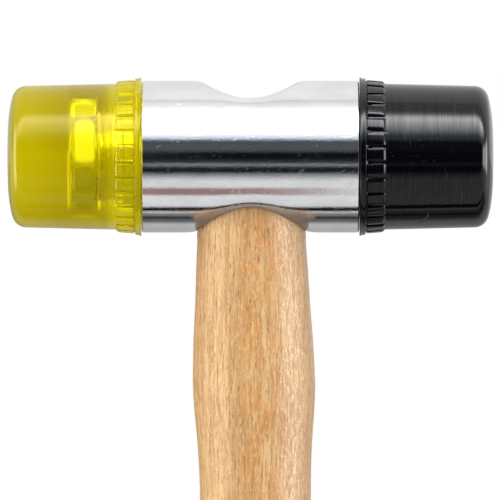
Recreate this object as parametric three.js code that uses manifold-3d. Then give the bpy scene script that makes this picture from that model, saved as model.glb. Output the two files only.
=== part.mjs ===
// A double-faced mallet of the dead-blow kind: a plated steel tube for a head, loose steel shot in its two
// end chambers, a screw-on striking face at each end, and a turned wooden handle wedged into the eye.
// Units are millimetres. The origin is the centre of the handle's butt, +Z runs up the handle to the head,
// and the head lies along X with the yellow face at -X and the black face at +X.

import * as THREE from "three";
import { mergeVertices } from "three/addons/utils/BufferGeometryUtils.js";
import Module from "manifold-3d";

const wasm = await Module();
wasm.setup();

// Driving dimensions
const HEAD_HEIGHT = 285; // butt to the head's axis
const ROUND_SEGMENTS = 40;
const CUT_OVERRUN = 1; // how far a cutting shape runs past the surface it cuts

const TUBE_RADIUS = 18.2;
const TUBE_WALL = 3;
const TUBE_HALF_LENGTH = 26;
const TUBE_BORE_RADIUS = TUBE_RADIUS - TUBE_WALL;
const TUBE_END_CHAMFER = 0.3;

const EYE_TOP_RADIUS = 11.3; // the eye narrows upwards
const EYE_BOTTOM_RADIUS = 13.2;
const SLEEVE_WALL = 1.3;
const EYE_SEGMENTS = 28;
const EYE_OVERRUN = 2; // how far the eye's cutting shape runs past the tube
const FIT_GAP = 0.15; // between pieces that are fixed to each other

const FACE_LENGTH = 32.2;
const FACE_SEAT_GAP = 0.15;
const LIP_RADIUS = 19.05;
const FLANGE_RADIUS = 18.72;
const FLANGE_LENGTH = 1.6;
const FLANGE_BACK_STEP = 0.25; // how much the flange narrows behind its rim
const GRIP_START = 1.9;
const GRIP_END = 6.2;
const GRIP_FLOOR_RADIUS = 17.7;
const GRIP_REAR_RADIUS = 18.45;
const GRIP_FRONT_RADIUS = 18.15;
const GRIP_CHAMFER = 0.55;
const TOOTH_COUNT = 30;
const TOOTH_SHARE = 0.74; // of the pitch; the rest is slot
const TOOTH_BURY = 0.3; // how deep the teeth root in the face
const TOOTH_TURN = 1; // degrees that the teeth are turned from a tooth facing the front
const FACE_ROOT_RADIUS = 17.52;
const FACE_NOSE_RADIUS = 16.95; // the face tapers from root to nose
const FACE_CORNER_RADIUS = 3.95;
const FACE_CROWN = 0.5;
const FACE_LAND_RADIUS = 5; // flat middle of the crowned end
const FACE_CORNER_STEPS = 4;
const FACE_CROWN_STEPS = 2;

const THREAD_PITCH = 1.5;
const THREAD_MAJOR_RADIUS = 8;
const THREAD_MINOR_RADIUS = 7.08;
const THREAD_START = 4.7;
const THREAD_END = 9.2;
const THREAD_STEPS_PER_TURN = 12;
const THREAD_CREST_HALF = 0.12;
const THREAD_ROOT_HALF = 0.5;
const THREAD_CLEARANCE = 0.32; // radial
const THREAD_SIDE_CLEARANCE = 0.12; // along the axis
const THREAD_ROOT_SINK = 0.3; // how far the ridge's foot is buried in the core
const GROOVE_RUN_IN = 0.9; // how far before the tapped length its groove starts

const LEAD_IN_RADIUS = 8.45; // plain mouth of the tapped hole
const LEAD_IN_DEPTH = 4.1;
const STUD_LENGTH = 10.3;
const STUD_CHAMFER = 0.8;
const PLUG_THICKNESS = 4;
const CHAMBER_RADIUS = 10; // the hollow in the face beyond its thread
const CHAMBER_END = 17.3;
const CHAMBER_CORNER = 2;
const CHAMBER_CORNER_STEPS = 3;

const WASHER_THICKNESS = 1;
const WASHER_OUTER_RADIUS = 12;
const WASHER_INNER_RADIUS = 8.45;
const WASHER_CURVE_STEPS = 16;
const WASHER_RECESS_DEPTH = WASHER_THICKNESS + FIT_GAP;

const SHOT_RADIUS = 2.95;
const SHOT_SPACING = 6.06; // centre to centre across the layer
const SHOT_RINGS = 2; // hexagonal rings around the middle ball
const SHOT_FILL_TOP = 4; // balls whose centres lie higher than this above the axis are left out
const SHOT_LAYER_X = 18.05;

const TENON_TOP = 13.4; // above the head's axis
const TENON_GAP = 0.25; // to the eye's wall
const TENON_OVERLAP = 3; // how far the tenon runs into the handle below the tube
const KERF_DEPTH = 24;
const KERF_WIDTH_TOP = 2.6;
const KERF_WIDTH_BOTTOM = 1.0;
const WEDGE_DEPTH = 22;
const CROSS_WEDGE_DEPTH = 11;
const CROSS_WEDGE_WIDTH = 15;
const CROSS_WEDGE_THICK = 1.8;
const CROSS_WEDGE_THIN = 0.7;

// The handle below the tenon: a flat butt, then stations of [height above the butt, radius]
const BUTT_FLAT_RADIUS = 9;
const BUTT_CORNER_INSET = 0.4; // from the first station's radius to the control point of the butt's curve
const BUTT_CURVE_STEPS = 5;
const HANDLE_OUTLINE = [
  [6, 14.1],
  [24, 15.3],
  [62, 15.7],
  [110, 14.3],
  [165, 12.9],
  [200, 13.2],
  [217, 13.8],
  [230.4, 14.8],
  [242, 14.3],
  [264, 13.15],
];
const HANDLE_OUTLINE_STEPS = 18;
const HANDLE_SEGMENTS = 28;

// Materials
const plated = new THREE.MeshStandardMaterial({ color: 0xdfe2e5, roughness: 0.12, metalness: 1 });
const steel = new THREE.MeshStandardMaterial({ color: 0xb9bcc0, roughness: 0.3, metalness: 1 });
const yellow = new THREE.MeshStandardMaterial({
  color: 0xd8c400,
  roughness: 0.2,
  metalness: 0,
  transparent: true,
  opacity: 0.75,
});
const black = new THREE.MeshStandardMaterial({ color: 0x141416, roughness: 0.25, metalness: 0 });
const wood = new THREE.MeshStandardMaterial({ color: 0xdcb582, roughness: 0.55, metalness: 0 });
const wedgeWood = new THREE.MeshStandardMaterial({ color: 0xb98a55, roughness: 0.7, metalness: 0 });
const fibre = new THREE.MeshStandardMaterial({ color: 0x7c2b22, roughness: 0.8, metalness: 0 });

// A closed three.js geometry as a manifold-3d solid, for joining and cutting.
function solidOf(geometry) {
  const bare = geometry.index ? geometry.toNonIndexed() : geometry.clone();
  bare.deleteAttribute("normal");
  bare.deleteAttribute("uv");
  const merged = mergeVertices(bare, 1e-4);
  const corners = merged.index.array;
  const kept = [];
  for (let i = 0; i < corners.length; i += 3) {
    const [a, b, c] = [corners[i], corners[i + 1], corners[i + 2]];
    if (a !== b && b !== c && c !== a) kept.push(a, b, c);
  }
  const vertProperties = merged.attributes.position.array;
  return new wasm.Manifold(new wasm.Mesh({ numProp: 3, vertProperties, triVerts: new Uint32Array(kept) }));
}

// A manifold-3d solid as a three.js geometry, for a mesh.
function geometryOf(solid) {
  const mesh = solid.getMesh();
  const positions = new Float32Array(mesh.numVert * 3);
  for (let i = 0; i < mesh.numVert; i++) {
    positions.set(mesh.vertProperties.subarray(i * mesh.numProp, i * mesh.numProp + 3), i * 3);
  }
  return new THREE.BufferGeometry()
    .setAttribute("position", new THREE.BufferAttribute(positions, 3))
    .setIndex(new THREE.BufferAttribute(mesh.triVerts, 1));
}

function named(name, geometry, material) {
  const mesh = new THREE.Mesh(geometry, material);
  mesh.name = name;
  return mesh;
}

// A turned piece about Y. The profile is [radius, height] pairs, from the top of its outline downwards.
function turned(profile, segments = ROUND_SEGMENTS) {
  const points = profile.map(([radius, height]) => new THREE.Vector2(radius, height));
  return new THREE.LatheGeometry(points.reverse(), segments);
}

// A plain disc or rod about Y between two heights.
function rod(bottomRadius, topRadius, from, to, segments = ROUND_SEGMENTS) {
  const height = to - from;
  const cylinder = new THREE.CylinderGeometry(topRadius, bottomRadius, height, segments);
  return cylinder.translate(0, from + height / 2, 0);
}

// A right-handed helix about Y whose cross-sections stay square to the radius.
class ThreadHelix extends THREE.Curve {
  constructor(radius, from, to) {
    super();
    Object.assign(this, { radius, from, to });
  }

  angle(t) {
    const start = (2 * Math.PI * this.from) / THREAD_PITCH;
    return start + (2 * Math.PI * t * (this.to - this.from)) / THREAD_PITCH;
  }

  getPoint(t, target = new THREE.Vector3()) {
    const angle = this.angle(t);
    const height = this.from + t * (this.to - this.from);
    return target.set(this.radius * Math.sin(angle), height, this.radius * Math.cos(angle));
  }

  computeFrenetFrames(steps) {
    const frames = { tangents: [], normals: [], binormals: [] };
    for (let i = 0; i <= steps; i++) {
      const angle = this.angle(i / steps);
      frames.tangents.push(new THREE.Vector3(Math.cos(angle), 0, -Math.sin(angle)));
      frames.normals.push(new THREE.Vector3(0, 1, 0));
      frames.binormals.push(new THREE.Vector3(Math.sin(angle), 0, Math.cos(angle)));
    }
    return frames;
  }
}

// The thread's helical ridge as a solid, grown by its clearances when it is used to cut a bore.
function threadRidge(from, to, clearance, sideClearance) {
  const crest = THREAD_MAJOR_RADIUS - THREAD_MINOR_RADIUS;
  const profile = new THREE.Shape([
    new THREE.Vector2(-THREAD_ROOT_HALF - sideClearance, -THREAD_ROOT_SINK),
    new THREE.Vector2(-THREAD_CREST_HALF - sideClearance, crest),
    new THREE.Vector2(THREAD_CREST_HALF + sideClearance, crest),
    new THREE.Vector2(THREAD_ROOT_HALF + sideClearance, -THREAD_ROOT_SINK),
  ]);
  const path = new ThreadHelix(THREAD_MINOR_RADIUS + clearance, from, to);
  const steps = Math.round(((to - from) / THREAD_PITCH) * THREAD_STEPS_PER_TURN);
  return solidOf(new THREE.ExtrudeGeometry(profile, { steps, extrudePath: path }));
}

// The eye's radius at a height above the head's axis.
function eyeRadius(height) {
  const slope = (EYE_BOTTOM_RADIUS - EYE_TOP_RADIUS) / (2 * TUBE_RADIUS);
  return EYE_BOTTOM_RADIUS - slope * (height + TUBE_RADIUS);
}

// The eye as a tapered plug along Z, in the head's own frame, grown outwards by grow.
function eyePlug(grow) {
  const reach = TUBE_RADIUS + EYE_OVERRUN;
  const bottom = eyeRadius(-reach) + grow;
  const top = eyeRadius(reach) + grow;
  return solidOf(rod(bottom, top, -reach, reach, EYE_SEGMENTS).rotateX(Math.PI / 2));
}

// A rod along X in the head's own frame.
function crossRod(radius, halfLength) {
  return solidOf(rod(radius, radius, -halfLength, halfLength).rotateZ(Math.PI / 2));
}

function headTube() {
  const inner = TUBE_RADIUS - TUBE_END_CHAMFER;
  const shoulder = TUBE_HALF_LENGTH - TUBE_END_CHAMFER;
  const outline = [
    [0, TUBE_HALF_LENGTH],
    [inner, TUBE_HALF_LENGTH],
    [TUBE_RADIUS, shoulder],
    [TUBE_RADIUS, -shoulder],
    [inner, -TUBE_HALF_LENGTH],
    [0, -TUBE_HALF_LENGTH],
  ];
  const bore = crossRod(TUBE_BORE_RADIUS, TUBE_HALF_LENGTH + CUT_OVERRUN);
  const solid = solidOf(turned(outline).rotateZ(Math.PI / 2)).subtract(bore).subtract(eyePlug(0));
  return named("head_tube", geometryOf(solid), plated);
}

// The sleeve lines the eye inside the tube, and keeps the shot away from the handle.
function eyeSleeve() {
  const inside = crossRod(TUBE_BORE_RADIUS - FIT_GAP, TUBE_HALF_LENGTH);
  const solid = eyePlug(SLEEVE_WALL).subtract(eyePlug(0)).intersect(inside);
  return named("eye_sleeve", geometryOf(solid), steel);
}

// Plug that closes a tube end, with the threaded stud that carries the face. Y points out of the tube.
function threadedPlug(name) {
  const outline = [
    [0, STUD_LENGTH],
    [THREAD_MINOR_RADIUS - STUD_CHAMFER, STUD_LENGTH],
    [THREAD_MINOR_RADIUS, STUD_LENGTH - STUD_CHAMFER],
    [THREAD_MINOR_RADIUS, 0],
    [TUBE_BORE_RADIUS - FIT_GAP, 0],
    [TUBE_BORE_RADIUS - FIT_GAP, -PLUG_THICKNESS],
    [0, -PLUG_THICKNESS],
  ];
  const body = solidOf(turned(outline, 2 * THREAD_STEPS_PER_TURN));
  return named(name, geometryOf(body.add(threadRidge(THREAD_START, THREAD_END, 0, 0))), steel);
}

function faceWasher(name) {
  const shape = new THREE.Shape().absarc(0, 0, WASHER_OUTER_RADIUS, 0, 2 * Math.PI);
  shape.holes.push(new THREE.Path().absarc(0, 0, WASHER_INNER_RADIUS, 0, 2 * Math.PI));
  const options = { depth: WASHER_THICKNESS, bevelEnabled: false, curveSegments: WASHER_CURVE_STEPS };
  const ring = new THREE.ExtrudeGeometry(shape, options).rotateX(-Math.PI / 2);
  return named(name, ring.translate(0, FACE_SEAT_GAP, 0), fibre);
}

// Points [radius, height] of a convex quarter round, from its top outwards and down.
function quarterRound(centre, radius, steps) {
  return Array.from({ length: steps + 1 }, (_, i) => {
    const angle = (1 - i / steps) * (Math.PI / 2);
    return [centre[0] + radius * Math.cos(angle), centre[1] + radius * Math.sin(angle)];
  });
}

// The outline of a face with no grip teeth, from the middle of its striking end back to its rear.
function faceOutline() {
  const cornerCentre = [FACE_NOSE_RADIUS - FACE_CORNER_RADIUS, FACE_LENGTH - FACE_CROWN - FACE_CORNER_RADIUS];
  const crown = new THREE.QuadraticBezierCurve(
    new THREE.Vector2(FACE_LAND_RADIUS, FACE_LENGTH),
    new THREE.Vector2(cornerCentre[0] - FACE_CORNER_RADIUS, FACE_LENGTH),
    new THREE.Vector2(cornerCentre[0], FACE_LENGTH - FACE_CROWN),
  );
  const corner = quarterRound(cornerCentre, FACE_CORNER_RADIUS, FACE_CORNER_STEPS);
  return [
    [0, FACE_LENGTH],
    ...crown.getPoints(FACE_CROWN_STEPS).map((point) => [point.x, point.y]),
    ...corner.slice(1),
    [FACE_ROOT_RADIUS, GRIP_END],
    [GRIP_FLOOR_RADIUS, GRIP_START],
    [FLANGE_RADIUS - FLANGE_BACK_STEP, GRIP_START],
    [FLANGE_RADIUS, FLANGE_LENGTH],
    [LIP_RADIUS, FACE_SEAT_GAP],
    [0, FACE_SEAT_GAP],
  ];
}

// The toothed ring of the grip: one flat per tooth, chamfered at the front, with slots between.
function gripRing(turn) {
  const pitch = (2 * Math.PI) / TOOTH_COUNT;
  const points = [];
  for (let i = 0; i < TOOTH_COUNT; i++) {
    const middle = i * pitch;
    const half = (pitch * TOOTH_SHARE) / 2;
    for (const [radius, angle] of [
      [GRIP_FLOOR_RADIUS - TOOTH_BURY, middle - half],
      [LIP_RADIUS, middle - half],
      [LIP_RADIUS, middle + half],
      [GRIP_FLOOR_RADIUS - TOOTH_BURY, middle + half],
    ]) {
      points.push(new THREE.Vector2(radius * Math.cos(angle), radius * Math.sin(angle)));
    }
  }
  const depth = GRIP_END - GRIP_START + TOOTH_BURY;
  const gear = new THREE.ExtrudeGeometry(new THREE.Shape(points), { depth, bevelEnabled: false });
  const acrossFlats = 1 / Math.cos(pitch / 2);
  const flats = [
    [0, GRIP_END],
    [(GRIP_FRONT_RADIUS - GRIP_CHAMFER) * acrossFlats, GRIP_END],
    [GRIP_FRONT_RADIUS * acrossFlats, GRIP_END - GRIP_CHAMFER],
    [GRIP_REAR_RADIUS * acrossFlats, GRIP_START - TOOTH_BURY],
    [0, GRIP_START - TOOTH_BURY],
  ];
  const teeth = solidOf(gear.rotateX(-Math.PI / 2).translate(0, GRIP_START - TOOTH_BURY, 0));
  return teeth.intersect(solidOf(turned(flats, TOOTH_COUNT))).rotate([0, turn, 0]);
}

// Everything that is hollow in a face: washer recess, threaded bore and the round-ended chamber beyond it.
function faceHollow() {
  const cornerCentre = [CHAMBER_RADIUS - CHAMBER_CORNER, CHAMBER_END - CHAMBER_CORNER];
  const core = turned(
    [
      [0, CHAMBER_END],
      ...quarterRound(cornerCentre, CHAMBER_CORNER, CHAMBER_CORNER_STEPS),
      [CHAMBER_RADIUS, STUD_LENGTH],
      [THREAD_MINOR_RADIUS + THREAD_CLEARANCE, STUD_LENGTH],
      [THREAD_MINOR_RADIUS + THREAD_CLEARANCE, LEAD_IN_DEPTH],
      [LEAD_IN_RADIUS, LEAD_IN_DEPTH],
      [LEAD_IN_RADIUS, WASHER_RECESS_DEPTH + FACE_SEAT_GAP],
      [WASHER_OUTER_RADIUS + FIT_GAP, WASHER_RECESS_DEPTH + FACE_SEAT_GAP],
      [WASHER_OUTER_RADIUS + FIT_GAP, -CUT_OVERRUN],
      [0, -CUT_OVERRUN],
    ],
    2 * THREAD_STEPS_PER_TURN,
  );
  const grooveEnd = THREAD_END + THREAD_SIDE_CLEARANCE;
  const grooveStart = LEAD_IN_DEPTH - GROOVE_RUN_IN;
  const groove = threadRidge(grooveStart, grooveEnd, THREAD_CLEARANCE, THREAD_SIDE_CLEARANCE);
  return solidOf(core).add(groove);
}

function strikingFace(name, material, toothTurn) {
  const solid = solidOf(turned(faceOutline())).add(gripRing(toothTurn)).subtract(faceHollow());
  return named(name, geometryOf(solid), material);
}

// Ball centres [y, z] of the settled shot in one chamber: a hexagonal layer with its top balls missing.
function shotPlaces() {
  const places = [];
  for (let row = -SHOT_RINGS; row <= SHOT_RINGS; row++) {
    const z = (row * SHOT_SPACING * Math.sqrt(3)) / 2;
    const count = 2 * SHOT_RINGS + 1 - Math.abs(row);
    for (let i = 0; i < count && z < SHOT_FILL_TOP; i++) {
      places.push([(i - (count - 1) / 2) * SHOT_SPACING, z]);
    }
  }
  return places;
}

function shotCharge(side, label) {
  const charge = new THREE.Group();
  shotPlaces().forEach(([y, z], index) => {
    const number = String(index + 1).padStart(2, "0");
    const ball = named(`${label}_shot_${number}`, new THREE.IcosahedronGeometry(SHOT_RADIUS, 1), steel);
    ball.position.set(side * SHOT_LAYER_X, y, z);
    charge.add(ball);
  });
  return charge;
}

// A blade that thins downwards from the tenon's top. Its cross-section is drawn in depth and thickness.
function wedgeBlade(width, depth, thick, thin, lift = 0) {
  const profile = new THREE.Shape([
    new THREE.Vector2(-thick / 2, lift),
    new THREE.Vector2(-thin / 2, -depth),
    new THREE.Vector2(thin / 2, -depth),
    new THREE.Vector2(thick / 2, lift),
  ]);
  const blade = new THREE.ExtrudeGeometry(profile, { depth: width, bevelEnabled: false });
  return blade.translate(0, 0, -width / 2).rotateX(Math.PI / 2);
}

// Tenon space in the head's frame: the eye's taper less its gap, up to the tenon's top.
function tenonSolid() {
  const start = -TUBE_RADIUS - TENON_OVERLAP;
  const bottom = eyeRadius(start) - TENON_GAP;
  const top = eyeRadius(TENON_TOP) - TENON_GAP;
  const shape = rod(bottom, top, start, TENON_TOP, EYE_SEGMENTS);
  return solidOf(shape.rotateX(Math.PI / 2));
}

function kerfBlade() {
  const width = 2 * TUBE_RADIUS;
  const blade = wedgeBlade(width, KERF_DEPTH, KERF_WIDTH_TOP, KERF_WIDTH_BOTTOM, CUT_OVERRUN);
  return solidOf(blade.rotateZ(Math.PI / 2)).translate([0, 0, TENON_TOP]);
}

function crossBlade(gap) {
  const depth = CROSS_WEDGE_DEPTH + gap;
  const thick = CROSS_WEDGE_THICK + 2 * gap;
  const thin = CROSS_WEDGE_THIN + 2 * gap;
  const lift = gap > 0 ? CUT_OVERRUN : 0;
  const blade = wedgeBlade(CROSS_WEDGE_WIDTH + 2 * gap, depth, thick, thin, lift);
  return solidOf(blade).translate([0, 0, TENON_TOP]);
}

function handle() {
  const stations = HANDLE_OUTLINE.map(([height, radius]) => new THREE.Vector2(radius, height));
  const outline = new THREE.SplineCurve(stations).getPoints(HANDLE_OUTLINE_STEPS);
  const side = outline.map((point) => [point.x, point.y]);
  const buttCurve = new THREE.QuadraticBezierCurve(
    new THREE.Vector2(BUTT_FLAT_RADIUS, 0),
    new THREE.Vector2(side[0][0] - BUTT_CORNER_INSET, 0),
    new THREE.Vector2(side[0][0], side[0][1]),
  );
  const butt = buttCurve.getPoints(BUTT_CURVE_STEPS).map((point) => [point.x, point.y]);
  const top = side[side.length - 1];
  const profile = [[0, 0], ...butt.slice(0, -1), ...side, [0, top[1]]].reverse();
  const grip = solidOf(turned(profile, HANDLE_SEGMENTS).rotateX(Math.PI / 2)).translate([0, 0, -HEAD_HEIGHT]);
  const solid = grip.add(tenonSolid()).subtract(kerfBlade()).subtract(crossBlade(FIT_GAP));
  return named("handle", geometryOf(solid), wood);
}

function handleWedge() {
  const thick = KERF_WIDTH_TOP - 2 * FIT_GAP;
  const thin = KERF_WIDTH_BOTTOM - FIT_GAP;
  const shape = wedgeBlade(2 * TUBE_RADIUS, WEDGE_DEPTH, thick, thin).rotateZ(Math.PI / 2);
  const blade = solidOf(shape).translate([0, 0, TENON_TOP]);
  const solid = blade.intersect(tenonSolid()).subtract(crossBlade(FIT_GAP));
  return named("handle_wedge", geometryOf(solid), wedgeWood);
}

function crossWedge() {
  return named("cross_wedge", geometryOf(crossBlade(0)), steel);
}

// One end of the head: its plug stays in the tube, and the washer and face screw off along the local Y axis.
function headEnd(side, label, face) {
  const end = new THREE.Group();
  end.position.x = side * TUBE_HALF_LENGTH;
  end.rotation.z = (-side * Math.PI) / 2;
  end.add(threadedPlug(`${label}_threaded_plug`));
  end.add(faceWasher(`${label}_face_washer`));
  end.add(face);
  return end;
}

const head = new THREE.Group();
head.position.z = HEAD_HEIGHT;
head.add(headTube(), eyeSleeve(), handle(), handleWedge(), crossWedge());
head.add(headEnd(-1, "left", strikingFace("yellow_face", yellow, TOOTH_TURN)));
head.add(headEnd(1, "right", strikingFace("black_face", black, -TOOTH_TURN)));
head.add(shotCharge(-1, "left"), shotCharge(1, "right"));

const mallet = new THREE.Group();
mallet.add(head);

export default mallet;
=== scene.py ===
"""The looks of a double-faced mallet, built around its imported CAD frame.

Lengths in the constants are millimetres unless they say otherwise. Every mesh is made in metres in
the frame's own space: +Z up the handle, and the head along X, its yellow face at -X, its black one
at +X.
"""

import math
import random

import bmesh
import bpy
import numpy as np
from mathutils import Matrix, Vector


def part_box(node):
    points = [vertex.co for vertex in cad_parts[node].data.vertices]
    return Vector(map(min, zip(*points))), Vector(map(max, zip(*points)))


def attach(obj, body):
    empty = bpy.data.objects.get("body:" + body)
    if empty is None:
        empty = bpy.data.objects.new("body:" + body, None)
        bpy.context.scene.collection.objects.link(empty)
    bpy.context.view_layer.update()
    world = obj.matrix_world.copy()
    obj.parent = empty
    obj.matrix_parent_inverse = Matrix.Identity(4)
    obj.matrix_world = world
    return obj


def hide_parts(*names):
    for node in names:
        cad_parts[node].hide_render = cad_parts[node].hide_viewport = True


MM = 0.001

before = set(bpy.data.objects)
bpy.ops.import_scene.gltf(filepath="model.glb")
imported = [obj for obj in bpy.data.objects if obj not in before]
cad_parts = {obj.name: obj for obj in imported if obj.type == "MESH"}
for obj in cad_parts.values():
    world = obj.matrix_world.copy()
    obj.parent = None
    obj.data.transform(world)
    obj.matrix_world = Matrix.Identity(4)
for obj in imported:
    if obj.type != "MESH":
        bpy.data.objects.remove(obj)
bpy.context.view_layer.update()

# Places and main sizes, read from the frame
tube_low, tube_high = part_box("head_tube")
HEAD_Z = (tube_low.z + tube_high.z) / 2 / MM
TUBE_R = (tube_high.y - tube_low.y) / 2 / MM
TUBE_HALF = tube_high.x / MM
FACE_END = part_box("black_face")[1].x / MM - TUBE_HALF
LIP_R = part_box("black_face")[1].y / MM
STUD_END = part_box("right_threaded_plug")[1].x / MM - TUBE_HALF
PLUG_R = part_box("right_threaded_plug")[1].y / MM
PLUG_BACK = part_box("right_threaded_plug")[0].x / MM - TUBE_HALF
TENON_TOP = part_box("handle")[1].z / MM - HEAD_Z

# Meshes
WELD_DISTANCE = 0.002
SLIVER_LENGTH = 0.0005
SHARP_DEGREES = 38

# Head tube and eye
TUBE_WALL = 3.0
TUBE_CHAMFER = 0.3
EYE_TOP_R = 11.3
EYE_BOTTOM_R = 13.2
FIT_GAP = 0.15
RIM_ROUND = 0.35  # the eye's edges are rounded over
RIM_DISH = 0.3  # and the wall is drawn in a little round them
RIM_DISH_REACH = 1.15
RIM_DISH_POWER = 1.3
EYE_SPREAD = 72  # degrees each way that the wall round the eye reaches
EYE_LONG_STEPS = 84
EYE_CROSS_STEPS = 56
SIDE_STEPS = 16
# Shares of the way from the eye's edge out over the wall: close together at the rim, then wider
RIM_SHARES = [0, 0.004, 0.008, 0.013, 0.019, 0.026]
WALL_FIRST_SHARE = 0.03
WALL_STEPS = 30
WALL_POWER = 1.35
WALL_SPREAD = np.linspace(WALL_FIRST_SHARE, 1, WALL_STEPS) ** WALL_POWER
WALL_SHARES = list(RIM_SHARES[-1] + (1 - RIM_SHARES[-1]) * WALL_SPREAD)
BORE_SHARES = [0, 0.1, 0.3, 0.6, 1]

# The eye's lining
SLEEVE_WALL = 1.3
SLEEVE_INSET = 0.02
SLEEVE_SEGMENTS = 120
SLEEVE_RINGS = 7

# Striking faces: outline stations as [distance out of the tube, radius over a tooth, radius in a
# slot]
FACE_SEAT = 0.15
FACE_REAR = [
    (FACE_SEAT, 18.8, 18.8), (0.19, 18.97, 18.97), (0.30, LIP_R, LIP_R),
    (0.48, 19.0, 19.0), (0.72, 18.86, 18.86), (1.1, 18.8, 18.8), (1.48, 18.77, 18.77),
    (1.57, 18.7, 18.7), (1.62, 18.5, 18.5), (1.66, 18.2, 18.1), (1.82, 18.15, 18.0),
    (1.88, 18.3, 17.75), (1.98, 18.41, 17.64), (2.4, 18.4, 17.62), (3.4, 18.32, 17.6),
    (4.4, 18.24, 17.59), (5.3, 18.16, 17.58), (5.6, 18.11, 17.57), (5.82, 18.01, 17.57),
    (5.98, 17.86, 17.56), (6.08, 17.7, 17.55), (6.2, 17.55, 17.53), (6.6, 17.5, 17.5),
]
FACE_NOSE_R = 17.0
FACE_CORNER_R = 3.5
FACE_CORNER_STEPS = 14
FACE_CROWN = 1.0
CROWN_TILT = 16.6  # degrees the crown leans where it meets the corner
BODY_SHARES = (0.03, 0.1, 0.25, 0.45, 0.65, 0.85)  # of the way from the ring to the corner
CROWN_SHARES = (0.93, 0.85, 0.76, 0.66, 0.55, 0.43, 0.3, 0.18, 0.08, 0)  # of the crown's radius
TOOTH_COUNT = 30
TOOTH_TURN = 1.0  # degrees from straight up to a slot
SLOT_SHARE = 0.25  # of the pitch
# From the middle of a slot, as [share of its half-width, how far up on the tooth]
SLOT_WALL = [(0, 0), (0.62, 0), (0.86, 0.12), (1.08, 0.88), (1.4, 1), (2.5, 1)]

# Threads
THREAD_PITCH = 1.5
THREAD_MAJOR_R = 8.0
THREAD_MINOR_R = 7.08
THREAD_FLANK = 0.38
THREAD_GAP = 0.3
THREAD_STEP = 0.1
STUD_CREST_HALF = 0.12
NUT_CREST_HALF = 0.24
NUT_RUN_OUT = (STUD_END - 0.1, STUD_END - 1.0)  # from nothing to its full depth
STUD_RUN_IN = (3.8, 4.7)
STUD_RUN_OUT = (STUD_END - 0.2, 9.2)

# The hollow of a face, as [distance out of the tube, radius] up to the thread
WASHER_RECESS_R = 12.15
WASHER_RECESS_END = 1.3
LEAD_IN_R = 8.45
LEAD_IN_END = 4.1
HOLLOW_REAR = [
    (FACE_SEAT, WASHER_RECESS_R),
    (WASHER_RECESS_END, WASHER_RECESS_R),
    (WASHER_RECESS_END, LEAD_IN_R),
    (2.7, LEAD_IN_R),
    (LEAD_IN_END, LEAD_IN_R),
]
CHAMBER_R = 10.0
CHAMBER_START = STUD_END + 0.1
CHAMBER_END = 17.3
CHAMBER_CORNER = 1.5
CHAMBER_CORNER_STEPS = 12
CHAMBER_NEAR_CORNER = 0.9
CHAMBER_NEAR_STEPS = 8
CHAMBER_END_RADII = (4.6, 2.8, 1, 0)

# The plug with its stud, as [distance out of the tube, radius] up to the thread and beyond it
PLUG_OUTLINE = [
    (PLUG_BACK, 0),
    (PLUG_BACK, PLUG_R - 0.3),
    (PLUG_BACK + 0.3, PLUG_R),
    (-0.4, PLUG_R),
    (0, PLUG_R - 0.4),
    (0, THREAD_MINOR_R + 1),
    (0.3, THREAD_MINOR_R + 0.2),
    (1, THREAD_MINOR_R),
    (3.5, THREAD_MINOR_R),
]
STUD_TIP = [(STUD_END - 0.5, THREAD_MINOR_R - 0.1), (STUD_END, THREAD_MINOR_R - 0.6), (STUD_END, 0)]
STUD_THREAD_SPAN = (3.6, STUD_END - 0.55)
STUD_SEGMENTS = 96

# Handle stations as [height above the butt, radius]
HANDLE_STATIONS = [
    (6, 14.1), (24, 15.3), (62, 15.7), (110, 14.3), (165, 12.95), (192, 13.05),
    (203, 13.3), (210, 13.45), (217, 13.8), (223, 14.3), (227, 14.58), (230.4, 14.7),
    (234, 14.63), (242, 14.3), (249.6, 13.82), (257.3, 13.45), (265, 13.02),
]
HANDLE_SEGMENTS = 160
GRIP_TOP = 190
GRIP_SAMPLES = 46
NECK_SAMPLES = 90
BUTT_FLAT_R = 9.0
BUTT_FLAT_RADII = (0, 2, 4.5, 7)
BUTT_CORNER_INSET = 0.35
BUTT_SAMPLES = 13
TENON_OVERLAP = 1
TENON_SAMPLES = 14
TENON_INSET = 0.16
TENON_EDGE = 0.4
TENON_TOP_INSETS = (0.45, 1.5)
TENON_TOP_RADII = (7, 4, 1.5, 0)
# How far the handle's centre stands off its straight line, as [height, offset]: it leans in the eye
# and bows below
HANDLE_BOW = [
    (0, 0), (50, 0.45), (110, 1.0), (165, 1.27), (204, 1.2), (230, 0.86), (250, 0.53),
    (266, 0.26), (304, -0.12),
]

# Shot
SHOT_R = 2.9
SHOT_FLAT = 0.02  # share of the radius that each ball's one flat is pressed in
SHOT_FLAT_POWER = 6
SHOT_SUBDIVISIONS = 3


# ---------------------------------------------------------------- meshes


def weld(name, grids):
    """A closed mesh from grids of points, in millimetres, welded along their shared edges."""
    bm = bmesh.new()
    for grid in grids:
        rows = [[bm.verts.new(Vector(point) * MM) for point in row] for row in grid]
        for lower, upper in zip(rows, rows[1:]):
            for i in range(len(lower) - 1):
                bm.faces.new((lower[i], lower[i + 1], upper[i + 1], upper[i]))
    bmesh.ops.remove_doubles(bm, verts=bm.verts, dist=WELD_DISTANCE * MM)
    bmesh.ops.dissolve_degenerate(bm, edges=bm.edges, dist=SLIVER_LENGTH * MM)
    return mesh_object(name, bm)


def mesh_object(name, bm):
    """A smooth-shaded object from a bmesh, with its real corners kept sharp."""
    bmesh.ops.recalc_face_normals(bm, faces=bm.faces)
    for face in bm.faces:
        face.smooth = True
    for edge in bm.edges:
        edge.smooth = edge.calc_face_angle(0) < math.radians(SHARP_DEGREES)
    mesh = bpy.data.meshes.new(name)
    bm.to_mesh(mesh)
    bm.free()
    made = bpy.data.objects.new(name, mesh)
    bpy.context.scene.collection.objects.link(made)
    return made


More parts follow.
